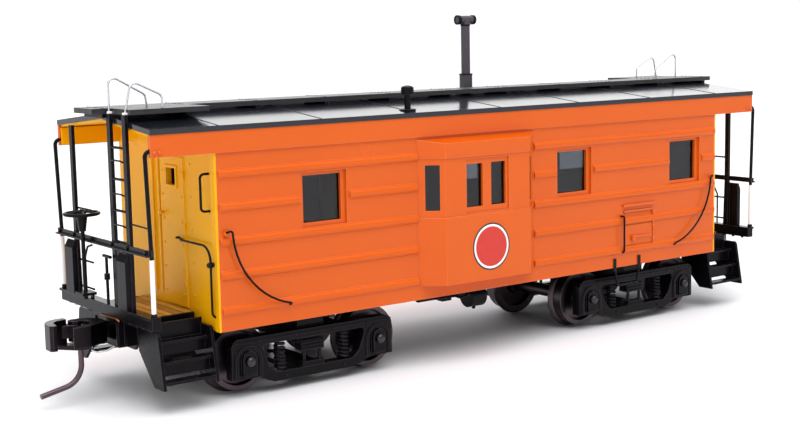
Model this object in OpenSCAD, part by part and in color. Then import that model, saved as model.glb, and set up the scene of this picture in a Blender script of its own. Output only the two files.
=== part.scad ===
// Model railway caboose, bay-window type, ribbed steel sides, with working trucks and couplers.
// X runs along the car, Y across it, Z up. Z = 0 is the floor under the wheel flanges.

/* [Body] */
// half length of the car body over its end walls
body_hl = 51.82; // [50:0.1:54]
// half width of the car body over its side plates
body_hw = 15.18; // [14.8:0.02:15.6]
// thickness of the body panels
wall_t = 1.0; // [0.8:0.05:1.2]
// how far the side ribs stand out
rib_out = 0.5; // [0.25:0.05:0.6]
// depth of the bay windows beyond the sides
bay_depth = 3.0; // [2.4:0.1:3.6]
// half length of the roof
roof_hl = 61.93; // [60.8:0.1:63]
// rise of the roof from eave to ridge
roof_rise = 1.6; // [1.2:0.1:2.0]

/* [Running gear] */
// distance of each truck centre from the middle of the car
truck_x = 34.61; // [34:0.1:35.5]
// distance of each axle from its truck centre
axle_dx = 11.6; // [11.2:0.1:12]
// radius of the wheel tread
tread_r = 4.83; // [4.6:0.01:4.9]
// radius of the wheel flange
flange_r = 5.46; // [5.3:0.01:5.5]
// radial clearance of turning pins
pin_gap = 0.06; // [0.03:0.01:0.09]

/* [Couplers] */
// height of the coupler above the rail
coupler_h = 9.92; // [9.8:0.02:10.0]
// distance of the coupler pivot from the middle of the car
coupler_px = 57.5; // [57:0.1:58]

/* [Hidden] */
rail = flange_r - tread_r;
eave = rail + 38.95;
sill = rail + 10.36;
deck_z = rail + 12.4;
bay_x = -4.75;
bay_wall = 12.1;
bay_front = 8.7;
win_lo = rail + 23.9;
win_hi = rail + 32.0;
win_x = [[-37.9, -29.95], [12.6, 20.6], [39.9, 47.85]];
rib_z = [32.8, 28.1, 23.15, 18.35, 13.3];
end_x = 62.1;
wire = 0.28;

// shared shapes
module flip() { children(); mirror([0, 1, 0]) children(); }
module turn() { children(); rotate([0, 0, 180]) children(); }
module ends() { children(); mirror([1, 0, 0]) children(); }
module box(a, b) { translate(a) cube(b - a); }
module rod(a, b, r) {
  d = b - a;
  l = norm(d);
  translate(a) rotate([0, acos(d[2] / l), atan2(d[1], d[0])]) cylinder(h = l, r = r, $fn = 24);
}
module roof_band(lo, hi, x, hw) {
  s = roof_rise / 15.6;
  translate([x[0], 0, 0]) rotate([90, 0, 90]) linear_extrude(x[1] - x[0])
    polygon([[-hw, eave + lo + s * (15.6 - hw)], [0, eave + lo + roof_rise], [hw, eave + lo + s * (15.6 - hw)],
             [hw, eave + hi + s * (15.6 - hw)], [0, eave + hi + roof_rise], [-hw, eave + hi + s * (15.6 - hw)]]);
}

// car body
module rib(z, x0, x1) {
  translate([x0, -body_hw + 0.75 - rib_out, rail + z]) rotate([0, 90, 0]) cylinder(h = x1 - x0, r = 0.75, $fn = 32);
}
module side_walls() color("#EE6A2E") flip() {
  difference() {
    box([-body_hl, -body_hw, sill], [body_hl, -body_hw + wall_t, eave]);
    for (w = win_x) box([w[0], -20, win_lo], [w[1], -10, win_hi]);
    box([bay_x - bay_wall + 1.1, -20, rail + 13.6], [bay_x + bay_wall - 1.1, -10, rail + 34.6]);
  }
  intersection() {
    box([-body_hl + 0.2, -body_hw - 1, sill], [body_hl - 0.2, -body_hw + 0.6, eave]);
    for (z = rib_z) {
      if (z == rib_z[1]) {
        rib(z, -51.6, -38.3);
        rib(z, -29.5, bay_x - bay_wall);
        rib(z, bay_x + bay_wall, 12.2);
        rib(z, 21.0, 39.5);
        rib(z, 48.25, 51.6);
      } else {
        rib(z, -51.6, bay_x - bay_wall);
        rib(z, bay_x + bay_wall, 51.6);
      }
    }
  }
}
module window_frames() color("#EE6A2E") flip() for (w = win_x) difference() {
  box([w[0], -body_hw + 0.45, win_lo], [w[1], -body_hw + wall_t, win_hi]);
  box([w[0] + 0.5, -20, rail + 24.5], [w[1] - 0.75, -10, rail + 31.5]);
}
module side_glass() color("#2B3036") flip() for (w = win_x)
  box([w[0] - 0.3, -body_hw + wall_t, win_lo + 0.4], [w[1] + 0.3, -body_hw + wall_t + 0.4, win_hi + 0.2]);
module bay_plan(s) polygon([[-bay_wall + s, -body_hw], [-bay_front + 0.4 * s, -body_hw - bay_depth + s],
    [bay_front - 0.4 * s, -body_hw - bay_depth + s], [bay_wall - s, -body_hw]]);
// the shell of the bay between two heights, set back by s from its full size
module bay_shell(s, lo, hi) translate([bay_x, 0, rail + lo]) linear_extrude(hi - lo) difference() {
  bay_plan(s);
  polygon([[-bay_wall + 1.2 * wall_t, -body_hw + 1], [-bay_wall + 1.2 * wall_t, -body_hw],
    [-bay_front + 0.5 * wall_t, -body_hw - bay_depth + wall_t], [bay_front - 0.5 * wall_t, -body_hw - bay_depth + wall_t],
    [bay_wall - 1.2 * wall_t, -body_hw], [bay_wall - 1.2 * wall_t, -body_hw + 1]]);
}
module angled_cut(s) {
  a = atan2(-bay_depth, bay_wall - bay_front);
  translate([bay_x + s * bay_wall, -body_hw, 0]) rotate([0, 0, s < 0 ? a : 180 - a])
    children();
}
module bay_windows() color("#EE6A2E") flip() difference() {
  union() {
    bay_shell(0, 12.6, 23.25);
    bay_shell(0.2, 23.25, 32.5);
    bay_shell(0, 32.5, 34.4);
    translate([bay_x, 0, rail + 12.6]) linear_extrude(0.9) bay_plan(0);
    // the top slopes outwards from the wall
    intersection() {
      translate([bay_x, 0, rail + 34.3]) linear_extrude(1.4) bay_plan(0);
      translate([bay_x - 20, 0, rail]) rotate([90, 0, 90]) linear_extrude(40)
        polygon([[-body_hw - bay_depth, 34.3], [-body_hw, 34.3], [-body_hw, 35.5], [-body_hw - bay_depth, 34.85]]);
    }
  }
  box([bay_x - 4.6, -25, rail + 23.6], [bay_x + 4.3, -16.5, rail + 32.1]);
  for (s = [-1, 1]) angled_cut(s) box([1.3, -2, rail + 24.4], [3.6, 2, rail + 31.5]);
}
module bay_frames() color("#EE6A2E") flip() difference() {
  box([bay_x - 4.6, -body_hw - bay_depth + 0.45, rail + 23.6], [bay_x + 4.3, -body_hw - bay_depth + 0.95, rail + 32.1]);
  box([bay_x - 4.2, -25, rail + 24.45], [bay_x - 0.9, -10, rail + 31.3]);
  box([bay_x + 0.8, -25, rail + 24.45], [bay_x + 3.85, -10, rail + 31.3]);
}
module bay_glass() color("#2B3036") flip() {
  box([bay_x - 4.4, -body_hw - bay_depth + 1.0, rail + 24.4], [bay_x + 4.4, -body_hw - bay_depth + 1.3, rail + 32.0]);
  for (s = [-1, 1]) angled_cut(s) box([1.3, s < 0 ? 0.45 : -0.8, rail + 24.4], [3.6, s < 0 ? 0.8 : -0.45, rail + 31.5]);
}
module end_walls() color("#E0A91E") turn() {
  s = roof_rise / 15.6;
  difference() {
    translate([-body_hl, 0, 0]) rotate([90, 0, 90]) linear_extrude(wall_t)
      polygon([[-body_hw + wall_t, sill], [body_hw - wall_t, sill], [body_hw - wall_t, eave + s * 1.4],
               [0, eave + roof_rise - 0.02], [-body_hw + wall_t, eave + s * 1.4]]);
    box([-60, -3.4, rail + 30.4], [-40, -0.6, rail + 32.9]);
  }
  flip() box([-body_hl - 0.3, -body_hw, sill], [-body_hl, -body_hw + 1.3, eave]);
  // the door stands proud of the wall, beside two jamb strips
  difference() {
    box([-body_hl - 0.2, -5.6, rail + 12.5], [-body_hl, 1.7, rail + 34.6]);
    box([-60, -3.4, rail + 30.4], [-40, -0.6, rail + 32.9]);
  }
  for (y = [2.0, 4.0]) box([-body_hl - 0.35, y, rail + 13.9], [-body_hl, y + 0.45, rail + 35.0]);
}
module door_glass() color("#2B3036") turn()
  box([-body_hl + wall_t, -3.7, rail + 30.1], [-body_hl + wall_t + 0.4, -0.3, rail + 33.2]);
module roof() color("#3B3D44") roof_band(0, 0.75, [-roof_hl, roof_hl], 15.65);
module porch_ceilings() color("#D39A22") ends() {
  roof_band(-0.35, 0, [body_hl + 0.3, roof_hl - 0.25], 14.6);
  flip() box([body_hl + 0.3, -15.0, rail + 35.95], [roof_hl - 0.25, -14.7, eave - 0.4]);
}
module eave_fascias() color("#EE6A2E") flip() {
  box([-roof_hl, -body_hw - 0.34, rail + 35.85], [roof_hl, -body_hw, eave]);
  ends() box([body_hl + 0.3, -body_hw, rail + 35.85], [roof_hl, -15.0, eave]);
}
module floor_plate() color("#2A282B") {
  box([-body_hl + wall_t, -body_hw + wall_t, rail + 11.0], [body_hl - wall_t, body_hw - wall_t, rail + 12.2]);
  ends() {
    translate([truck_x, 0, rail + 9.5]) cylinder(h = 1.6, r = 3.2, $fn = 40);
    box([truck_x - 1.6, -13.6, rail + 10.3], [truck_x + 1.6, 13.6, rail + 11.05]);
  }
  flip() box([-truck_x + 3.9, -2.4, rail + 8.6], [truck_x - 3.9, -1.7, rail + 11.05]);
  for (x = [-18, -6, 6, 18]) box([x - 0.5, -13.4, rail + 9.9], [x + 0.5, 13.4, rail + 11.05]);
}
module weight_block() color("#8C8F94") box([-42, -9, rail + 12.2], [42, 9, rail + 15.4]);
module truck_screws() color("#8C8F94") ends() translate([truck_x, 0, rail]) {
  translate([0, 0, 5.9]) cylinder(h = 3.6, r = 1.3 - pin_gap, $fn = 32);
  difference() {
    translate([0, 0, 5.15]) cylinder(h = 0.76, r = 2.1, $fn = 40);
    box([-2.5, -0.25, 5.0], [2.5, 0.25, 5.45]);
  }
}

// platforms
module platform_decks() color("#8A5A1E") ends() difference() {
  box([body_hl + 0.4, -7.8, rail + 12.0], [61.3, 7.8, deck_z]);
  for (k = [1:5]) box([body_hl + 0.4 + k * 1.5, -9, deck_z - 0.12], [body_hl + 0.52 + k * 1.5, 9, deck_z + 1]);
}
module platform_frames() color("#2A282B") ends() {
  difference() {
    box([body_hl + 0.35, -7.6, rail + 11.15], [61.3, 7.6, rail + 12.0]);
    box([50, -3.9, rail + 11], [62, 3.9, rail + 11.7]);
  }
}
module end_sills() color("#2A282B") ends() {
  box([61.35, -15.5, rail + 12.1], [62.65, 15.5, rail + 13.9]);
  box([61.35, -15.5, rail + 13.6], [63.0, 15.5, rail + 13.95]);
}
module step_plate(x0, x1) {
  translate([x0, 0, rail]) rotate([90, 0, 90]) linear_extrude(x1 - x0)
    polygon([[-7.2, 11.1], [-12.9, 11.1], [-13.3, 10.7], [-14.65, 3.2], [-11.7, 3.2], [-7.2, 7.8]]);
}
module step_wells() color("#2A282B") ends() flip() {
  step_plate(52.15, 52.6);
  step_plate(60.45, 60.9);
  for (k = [0:2]) {
    y = -12.1 - 1.15 * k;
    z = rail + 9.6 - 2.7 * k;
    box([52.4, y, z - 0.35], [60.6, y + 2.0, z]);
    box([52.4, y + 1.7, z + (k == 0 ? -0.1 : 0.6)], [60.6, y + 2.0, z + (k == 0 ? 2.4 : 2.5)]);
  }
  box([52.4, -8.2, rail + 9.2], [60.6, -7.8, deck_z]);
  box([52.4, -10.4, rail + 9.2], [60.6, -7.8, rail + 9.6]);
}
module corner_posts() color("#2A282B") turn() flip() {
  rod([-62.2, -15.2, rail + 21.96], [-62.65, -15.2, rail + 36.8], 0.3);
  rod([-62.65, -15.2, rail + 36.8], [-61.93, -15.2, rail + 36.8], 0.3);
  translate([-62.65, -15.2, rail + 36.8]) sphere(r = 0.3, $fn = 24);
  translate([-62.2, -15.2, rail + 13.95]) cylinder(h = 0.45, r = 0.45, $fn = 24);
}
module post_grips() color("#EFECEC") turn() flip()
  rod([-62.2, -15.2, rail + 14.4], [-62.2, -15.2, rail + 21.96], 0.34);
module end_rails() color("#2A282B") ends() difference() {
  union() {
    box([62.55, -15.5, rail + 22.4], [62.75, 15.5, rail + 23.3]);
    box([62.55, -15.5, rail + 22.4], [63.15, 15.5, rail + 22.65]);
    flip() box([62.0, -15.5, rail + 22.4], [62.6, -14.9, rail + 23.3]);
  }
  flip() rod([62.2, -15.2, rail + 21.9], [62.65, -15.2, rail + 36.8], 0.3);
}
module foot_box(y0, y1) translate([0, y1, rail]) rotate([90, 0, 0]) linear_extrude(y1 - y0)
  polygon([[-62.5, 13.95], [-63.3, 13.95], [-63.3, 20.9], [-62.75, 22.0], [-62.5, 22.0]]);
module end_posts() color("#2A282B") turn() {
  translate([-62.5, 9.5, rail]) rotate([90, 0, 90]) linear_extrude(0.52)
    polygon([[-0.65, 13.95], [0.5, 13.95], [0.5, 39.2], [-0.4, 39.2], [-0.4, 22]]);
  foot_box(9.1, 11.9);
}
module end_ladders() color("#2A282B") turn() {
  for (y = [-3.8, -8.75]) box([-62.5, y - 0.5, rail + 13.95], [-61.98, y + 0.5, rail + 41.4]);
  for (k = [0:3]) rod([-62.25, -8.75, rail + 23.4 + 4.45 * k], [-62.25, -3.8, rail + 23.4 + 4.45 * k], 0.2);
  foot_box(-9.0, -6.2);
  difference() {
    box([-62.4, -8.75, rail + 13.95], [-62.1, -3.8, rail + 22.1]);
    translate([-70, -5.5, rail + 21.0]) rotate([0, 90, 0]) cylinder(h = 20, r = 0.35, $fn = 24);
  }
}
module brake_stand() color("#2A282B") {
  rod([-63.6, 4.2, rail + 13.95], [-63.6, 4.2, rail + 26.6], 0.3);
  translate([-63.6, 4.2, rail + 24.0]) cylinder(h = 2.4, r1 = 0.5, r2 = 0.85, $fn = 24);
  box([-64.6, 2.9, rail + 14.6], [-62.4, 5.6, rail + 15.0]);
  box([-62.65, 3.8, rail + 13.95], [-62.4, 4.6, rail + 14.6]);
}
module brake_wheel() color("#2A282B") translate([-63.6, 4.2, rail + 26.6]) {
  rotate_extrude($fn = 48) translate([2.45, 0]) circle(r = 0.28, $fn = 16);
  cylinder(h = 0.4, r = 0.6, $fn = 24);
  for (a = [0:60:300]) rotate([0, 0, a]) rod([0.4, 0, 0.15], [2.4, 0, 0], 0.15);
}

// roof fittings
module running_board() color("#3A383C") for (y = [-2.06, 0, 2.06])
  box([-64.5, y - 0.99, rail + 41.4], [64.5, y + 0.99, rail + 42.15]);
module board_saddles() color("#2A282B") for (x = [-62.6:12.52:62.7]) {
  difference() {
    box([x - 0.35, -3.05, rail + 40.8], [x + 0.35, 3.05, rail + 41.4]);
    roof_band(-2, 0.75, [-roof_hl, roof_hl], 15.65);
  }
}
module roof_platforms() color("#3A383C") turn() for (k = [0:2])
  box([-61.9, -5.2 - 2.3 * k, rail + 41.4], [-49.5, -3.1 - 2.3 * k, rail + 42.15]);
module smoke_stack() color("#3A383C") {
  difference() {
    translate([11.0, 6.6, rail + 39.4]) cylinder(h = 4.9, r = 1.15, $fn = 32);
    roof_band(-2, 0.75, [-20, 20], 15.65);
  }
  translate([11.0, 6.6, rail + 44.2]) cylinder(h = 9.6, r = 0.8, $fn = 32);
  translate([9.2, 6.6, rail + 53.8]) rotate([0, 90, 0]) cylinder(h = 3.6, r = 0.75, $fn = 32);
}
module roof_vent() color("#3A383C") {
  difference() {
    translate([-16.7, -13.0, rail + 39.2]) cylinder(h = 3.2, r = 0.5, $fn = 32);
    roof_band(-2, 0.75, [-30, 0], 15.65);
  }
  translate([-16.7, -13.0, rail + 42.4]) cylinder(h = 1.1, r = 1.0, $fn = 32);
}
module roof_grabs() color("#C9CBD0") turn() for (y = [-3.9, -9.2]) {
  rod([-62.2, y, rail + 41.5], [-61.3, y, rail + 46.6], 0.14);
  rod([-61.3, y, rail + 46.6], [-56.4, y, rail + 42.1], 0.14);
}

// handrails and small steps
module side_handrails() color("#2A282B") ends() flip() difference() {
  union() {
    translate([38.0, 0, rail + 25.2]) rotate([90, 0, 0]) translate([0, 0, body_hw + 0.85]) intersection() {
      rotate_extrude($fn = 64) translate([12.3, 0]) circle(r = wire, $fn = 16);
      translate([2.4, -12.7, -1]) cube([12, 12.4, 2]);
    }
    rod([50.25, -body_hw - 0.95, rail + 24.7], [50.25, -body_hw, rail + 24.7], wire);
    rod([40.6, -body_hw - 0.95, rail + 13.3], [40.6, -body_hw, rail + 13.3], wire);
  }
  rib(rib_z[4], 30, 51);
}
module end_handrails() color("#2A282B") turn() {
  x = -body_hl - 0.8;
  rod([x, -4.2, rail + 22.6], [x, -14.1, rail + 22.6], wire);
  rod([x, -14.1, rail + 12.8], [x, -14.1, rail + 22.6], wire);
  translate([x, -14.1, rail + 22.6]) sphere(r = wire, $fn = 24);
  for (p = [[-4.5, 22.6], [-14.1, 13.1], [-14.1, 20.1]])
    rod([x, p[0], rail + p[1]], [-body_hl - (p[0] < -13 ? 0.3 : 0.2), p[0], rail + p[1]], 0.24);
  // the grab iron beside the door
  rod([x - 0.6, -13.0, rail + 27.4], [x - 0.6, -13.0, rail + 33.0], 0.24);
  for (z = [27.7, 32.7]) rod([x - 0.6, -13.0, rail + z], [-body_hl, -13.0, rail + z], 0.22);
}
module side_grabs() color("#2A282B") turn() difference() {
  union() {
    rod([27.7, -body_hw - 0.85, rail + 13.0], [27.7, -body_hw - 0.85, rail + 19.5], 0.22);
    for (z = [13.4, 19.1]) rod([27.7, -body_hw - 0.9, rail + z], [27.7, -body_hw, rail + z], 0.2);
  }
  rib(rib_z[3], 20, 40);
  rib(rib_z[4], 20, 40);
}
module sill_steps() color("#2A282B") turn() {
  y = -body_hw - 0.12;
  for (x = [26.15, 32.15]) {
    box([x - 0.28, -body_hw - 0.25, rail + 9.8], [x + 0.28, -body_hw, rail + 12.0]);
    rod([x, y, rail + 10.1], [x < 29 ? 26.8 : 31.5, y, rail + 7.3], 0.2);
  }
  box([26.6, -body_hw - 0.35, rail + 7.05], [31.7, -body_hw + 0.7, rail + 7.4]);
}
module equipment_doors() color("#EE6A2E") turn() {
  box([28.5, -body_hw - 0.14, rail + 14.15], [35.4, -body_hw, rail + 17.55]);
  box([28.3, -body_hw - 0.3, rail + 19.85], [35.5, -body_hw, rail + 20.2]);
  box([28.0, -body_hw - 0.5, rail + 20.9], [35.9, -body_hw, rail + 21.3]);
}
module air_valves() color("#2A282B") turn() {
  rod([-62.9, -2.1, rail + 13.95], [-62.9, -2.1, rail + 21.2], 0.22);
  rod([-62.9, -1.2, rail + 21.0], [-62.9, -3.5, rail + 21.0], 0.24);
  rod([-62.9, -2.1, rail + 17.6], [-62.9, -2.1, rail + 18.5], 0.42);
}
module brake_gear() color("#2A282B") {
  translate([-11.8, -8.2, rail + 9.4]) rotate([0, 90, 0]) cylinder(h = 5.1, r = 1.15, $fn = 32);
  box([-7.2, -8.9, rail + 7.9], [-5.3, -7.5, rail + 9.2]);
  box([-5.35, -8.9, rail + 8.3], [-1.4, -7.4, rail + 10.4]);
  translate([-1.5, -8.2, rail + 8.0]) rotate([0, 90, 0]) cylinder(h = 2.9, r = 1.9, $fn = 32);
  translate([0, -8.2, rail + 5.7]) cylinder(h = 1.0, r = 0.3, $fn = 24);
  for (x = [-10.5, -7.2]) box([x - 0.3, -8.6, rail + 10.2], [x + 0.3, -7.8, rail + 11.0]);
  for (x = [-4.2, 0]) box([x - 0.4, -8.6, rail + 9.5], [x + 0.4, -7.8, rail + 11.0]);
}
module draft_boxes() color("#2A282B") turn() translate([0, 0, rail + coupler_h]) {
  difference() {
    union() {
      box([-62.4, -3.9, -2.15], [-54.0, 3.9, 1.78]);
      box([-62.4, -3.9, 1.5], [-61.35, 3.9, 2.18]);
    }
    box([-63, -3.0, -1.1], [-55.0, 3.0, 1.1]);
  }
  translate([-coupler_px, 0, -1.2]) cylinder(h = 2.4, r = 0.95, $fn = 32);
}

// couplers
module coupler_shank() color("#2E2B2E") translate([0, 0, rail + coupler_h]) {
  difference() {
    union() {
      translate([-coupler_px, 0, -0.95]) cylinder(h = 1.9, r = 1.9, $fn = 40);
      box([-63.6, -1.1, -0.95], [-coupler_px, 1.1, 0.95]);
      translate([1, 0, 0]) {
        translate([0, 0, -1.5]) linear_extrude(3.0) polygon([[-63.9, 1.1], [-65.0, 2.7], [-66.3, 3.2], [-66.3, 0.6],
          [-65.9, -0.6], [-67.2, -1.7], [-69.6, -2.4], [-69.9, -3.2], [-67.2, -3.0], [-65.2, -1.9], [-63.9, -1.1]]);
        for (z = [-1.5, 1.0]) translate([0, 0, z]) {
          box([-67.4, 1.3, 0], [-66.2, 3.2, 0.5]);
          translate([-67.4, 2.3, 0]) cylinder(h = 0.5, r = 0.95, $fn = 32);
        }
        translate([-67.4, 2.3, -1.5]) cylinder(h = 3.0, r = 0.44, $fn = 24);
      }
    }
    translate([-coupler_px, 0, -3]) cylinder(h = 6, r = 0.95 + pin_gap, $fn = 32);
  }
}
module coupler_front() coupler_shank();
module coupler_rear() rotate([0, 0, 180]) coupler_shank();
module knuckle() color("#2E2B2E") translate([1, 0, rail + coupler_h]) {
  difference() {
    union() {
      translate([-67.4, 2.3, -0.93]) cylinder(h = 1.86, r = 0.95, $fn = 32);
      translate([0, 0, -0.93]) linear_extrude(1.86)
        polygon([[-67.4, 3.25], [-69.4, 3.4], [-69.4, 2.0], [-67.5, 1.5]]);
    }
    translate([-67.4, 2.3, -3]) cylinder(h = 6, r = 0.44 + pin_gap, $fn = 24);
  }
  translate([0, 0, -1.85]) linear_extrude(3.7) polygon([[-68.7, 3.4], [-69.9, 3.4], [-71.0, 3.0], [-71.9, 2.2],
    [-72.4, 1.1], [-72.5, -0.9], [-72.1, -1.3], [-71.5, -1.2], [-71.3, 0.4], [-70.9, 1.3], [-70.2, 1.9], [-68.7, 2.1]]);
  translate([0, 0, -2.4]) linear_extrude(0.62)
    polygon([[-70.2, 1.9], [-70.2, 2.7], [-66.6, 2.9], [-66.0, 0.2], [-66.5, -0.7], [-68.0, -0.6]]);
}
module knuckle_front() knuckle();
module knuckle_rear() rotate([0, 0, 180]) knuckle();
module trip_pin() color("#5A4E50") translate([-66.6, 0, rail]) {
  rod([0, 0, 5.4], [0, 0, coupler_h - 2.4], 0.4);
  translate([-3.1, 0, 5.4]) rotate([90, 0, 0]) rotate([0, 0, -78]) rotate_extrude(angle = 78, $fn = 64)
    translate([3.1, 0]) circle(r = 0.4, $fn = 24);
  rod([-3.1 + 3.1 * cos(78), 0, 5.4 - 3.1 * sin(78)], [-6.3, 0, 5.4 - 3.1 * sin(78) - 0.79], 0.4);
}
module trip_pin_front() trip_pin();
module trip_pin_rear() rotate([0, 0, 180]) trip_pin();

// trucks
module truck_frame(s) color("#2B292C") translate([s * truck_x, 0, rail]) difference() {
  union() {
    flip() {
      translate([0, -10.8, 0]) rotate([90, 0, 0]) linear_extrude(1.8) difference() {
        polygon([[-14.3, 2.2], [-14.3, 7.2], [-14.0, 7.9], [-13.3, 8.25], [13.3, 8.25], [14.0, 7.9], [14.3, 7.2], [14.3, 2.2],
                 [9.7, 2.2], [8.4, 1.5], [7.2, 1.05], [-7.2, 1.05], [-8.4, 1.5], [-9.7, 2.2]]);
        polygon([[-7.0, 2.45], [7.0, 2.45], [7.9, 3.2], [9.1, 6.4], [8.8, 6.95], [-8.8, 6.95], [-9.1, 6.4], [-7.9, 3.2]]);
      }
      for (d = [-axle_dx, axle_dx]) {
        // the journal box with its domed lid, under an arched ridge
        translate([d, -12.5, 0]) rotate([90, 0, 0]) linear_extrude(0.7)
          polygon([[-1.15, 2.7], [-1.15, 5.3], [-0.9, 6.1], [0, 6.45], [0.9, 6.1], [1.15, 5.3], [1.15, 2.7]]);
        translate([d, -12.55, 4.9]) rotate([90, 0, 0]) cylinder(h = 0.9, r = 0.55, $fn = 24);
        translate([d, -12.55, 4.9]) rotate([90, 0, 0]) difference() {
          union() {
            cylinder(h = 0.35, r = 2.25, $fn = 40);
            box([-2.25, -2.6, 0], [2.25, 0, 0.35]);
          }
          translate([0, 0, -1]) cylinder(h = 3, r = 1.8, $fn = 40);
          box([-1.8, -4, -1], [1.8, 0, 2]);
        }
      }
      box([-2.0, -12.0, 4.7], [2.0, -10.0, 6.3]);
      box([-1.9, -12.2, 2.4], [1.9, -11.0, 3.1]);
      for (x = [-1.4, 1.4]) box([x - 0.2, -11.8, 3.0], [x + 0.2, -11.4, 4.8]);
    }
    box([-2.3, -11.4, 6.0], [2.3, 11.4, 9.4]);
    box([-2.6, -11.4, 1.5], [2.6, 11.4, 2.3]);
  }
  cylinder(h = 12, r = 1.3, $fn = 32);
  for (d = [-axle_dx, axle_dx]) translate([d, 0, tread_r]) rotate([90, 0, 0])
    translate([0, 0, -12.45]) cylinder(h = 24.9, r = 0.6 + pin_gap, $fn = 24);
}
module truck_frame_front() truck_frame(-1);
module truck_frame_rear() truck_frame(1);
module truck_springs(s) color("#3A383C") translate([s * truck_x, 0, rail]) flip() for (d = [-5.7, 5.7])
  translate([d, -11.6, 2.45]) rotate_extrude($fn = 32)
    polygon(concat([[0, 0]], [for (k = [0:6], a = [-90:30:60]) [0.66 + 0.28 * cos(a), 0.31 + 0.637 * k + 0.28 * sin(a)]],
                   [[0.66, 4.5], [0, 4.5]]));
module truck_springs_front() truck_springs(-1);
module truck_springs_rear() truck_springs(1);
module wheelset(x) color("#3A3638") translate([x, 0, rail + tread_r]) rotate([90, 0, 0]) rotate_extrude($fn = 72) {
  polygon([[0, -12.3], [0.6, -12.3], [0.6, -10.6], [1.5, -10.5], [1.5, -9.3], [3.9, -9.1], [4.1, -9.94], [tread_r, -9.94],
           [tread_r, -7.95], [tread_r + 0.35, -7.8], [flange_r, -7.5], [flange_r, -7.35], [tread_r + 0.3, -7.15],
           [4.1, -7.15], [3.9, -8.0], [1.8, -7.8], [1.6, -7.0], [1.1, -6.9], [1.1, 6.9], [1.6, 7.0], [1.8, 7.8],
           [3.9, 8.0], [4.1, 7.15], [tread_r + 0.3, 7.15], [flange_r, 7.35], [flange_r, 7.5], [tread_r + 0.35, 7.8],
           [tread_r, 7.95], [tread_r, 9.94], [4.1, 9.94], [3.9, 9.1], [1.5, 9.3], [1.5, 10.5], [0.6, 10.6],
           [0.6, 12.3], [0, 12.3]]);
}
module wheelset_1() wheelset(-truck_x - axle_dx);
module wheelset_2() wheelset(-truck_x + axle_dx);
module wheelset_3() wheelset(truck_x - axle_dx);
module wheelset_4() wheelset(truck_x + axle_dx);

side_walls();
window_frames();
side_glass();
bay_windows();
bay_frames();
bay_glass();
end_walls();
door_glass();
roof();
porch_ceilings();
eave_fascias();
floor_plate();
weight_block();
truck_screws();
platform_decks();
platform_frames();
end_sills();
step_wells();
corner_posts();
post_grips();
end_rails();
end_posts();
end_ladders();
brake_stand();
brake_wheel();
running_board();
board_saddles();
roof_platforms();
smoke_stack();
roof_vent();
roof_grabs();
side_handrails();
end_handrails();
side_grabs();
sill_steps();
equipment_doors();
air_valves();
brake_gear();
draft_boxes();
coupler_front();
coupler_rear();
knuckle_front();
knuckle_rear();
trip_pin_front();
trip_pin_rear();
truck_frame_front();
truck_frame_rear();
truck_springs_front();
truck_springs_rear();
wheelset_1();
wheelset_2();
wheelset_3();
wheelset_4();
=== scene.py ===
# Ribbed-side bay-window caboose, HO scale: finishes for the CAD parts, and the small trim and rigging.
import math

import bmesh
import bpy
from mathutils import Matrix, Vector


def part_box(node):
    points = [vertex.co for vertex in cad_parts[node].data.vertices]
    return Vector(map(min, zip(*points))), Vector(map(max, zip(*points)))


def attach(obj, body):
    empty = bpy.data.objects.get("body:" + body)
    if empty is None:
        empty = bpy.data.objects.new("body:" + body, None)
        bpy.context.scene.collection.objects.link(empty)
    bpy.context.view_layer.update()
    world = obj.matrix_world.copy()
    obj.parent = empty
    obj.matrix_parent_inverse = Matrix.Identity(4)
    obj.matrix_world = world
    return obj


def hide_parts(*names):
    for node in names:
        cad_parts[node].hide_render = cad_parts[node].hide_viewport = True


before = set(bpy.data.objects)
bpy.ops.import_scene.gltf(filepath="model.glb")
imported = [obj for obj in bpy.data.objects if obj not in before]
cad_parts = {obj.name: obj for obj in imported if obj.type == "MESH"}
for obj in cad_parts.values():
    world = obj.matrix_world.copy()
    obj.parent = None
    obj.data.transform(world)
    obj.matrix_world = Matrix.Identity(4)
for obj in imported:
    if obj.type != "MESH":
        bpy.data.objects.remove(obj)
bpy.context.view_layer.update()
print("parts loaded")

mm = 0.001
railZ = 0.63  # rail head above the flange bottoms, mm; heights below are above the rail


# small tools
def linear(code):  # sRGB hex to linear RGBA
    parts = [int(code[i:i + 2], 16) / 255 for i in (1, 3, 5)]
    return tuple(c / 12.92 if c <= 0.04045 else ((c + 0.055) / 1.055) ** 2.4 for c in parts) + (1.0,)


def addNode(tree, kind, links=None, **settings):
    node = tree.nodes.new(kind)
    for key, value in settings.items():
        setattr(node, key, value)
    for key, value in (links or {}).items():
        socket = node.inputs[key]
        if isinstance(value, bpy.types.NodeSocket):
            tree.links.new(value, socket)
        else:
            socket.default_value = value
    return node


def spot(p):  # mm above the rail to metres in the shared frame
    return Vector((p[0] * mm, p[1] * mm, (p[2] + railZ) * mm))


# finishes
def startMaterial(name, links):
    mat = bpy.data.materials.new(name)
    mat.use_nodes = True
    tree = mat.node_tree
    tree.nodes.clear()
    shader = addNode(tree, "ShaderNodeBsdfPrincipled", links)
    addNode(tree, "ShaderNodeOutputMaterial", {"Surface": shader.outputs[0]})
    return mat, tree, shader


def inMillimetres(tree, size, stretch=(1, 1, 1)):  # object coordinates, one unit for each size in mm
    place = addNode(tree, "ShaderNodeTexCoord")
    scale = [1000 / (size * s) for s in stretch]
    return addNode(tree, "ShaderNodeMapping", {"Vector": place.outputs["Object"], "Scale": scale}).outputs[0]


edgeSettings = {"samples": 6, "flat": 0.995, "turned": 0.86}  # how far a normal turns, as a cosine


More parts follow.
